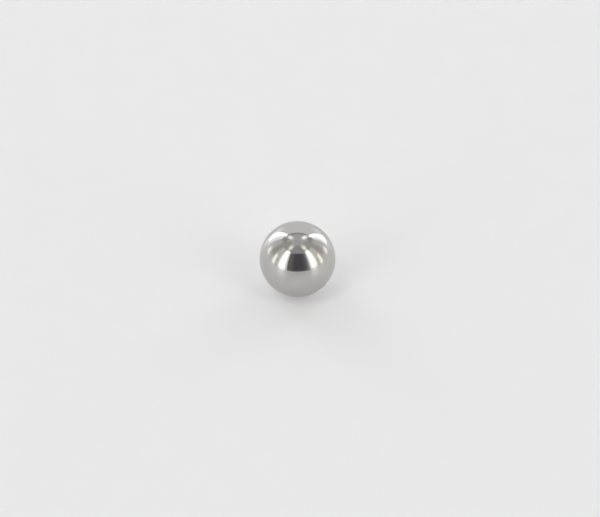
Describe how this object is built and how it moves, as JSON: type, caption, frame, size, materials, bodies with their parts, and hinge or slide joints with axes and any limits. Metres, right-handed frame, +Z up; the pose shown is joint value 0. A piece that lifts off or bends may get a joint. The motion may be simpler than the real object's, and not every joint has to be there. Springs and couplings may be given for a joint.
{
  "type": "steel ball",
  "caption": "Solid polished steel ball, a plain sphere that rolls, carries load or seats in a cup, race or detent.",
  "frame": {"origin": "centre of the ball", "axes": "+Z up when the ball lies on a level surface, which it touches at the point below its centre; every axis through the centre is an axis of symmetry, so +X and +Y are free"},
  "size_m": [0.008, 0.008, 0.008],
  "materials": {
    "polished_steel": "polished"
  },
  "bodies": {
    "root": {"ball": "polished_steel"}
  },
  "joints": []
}
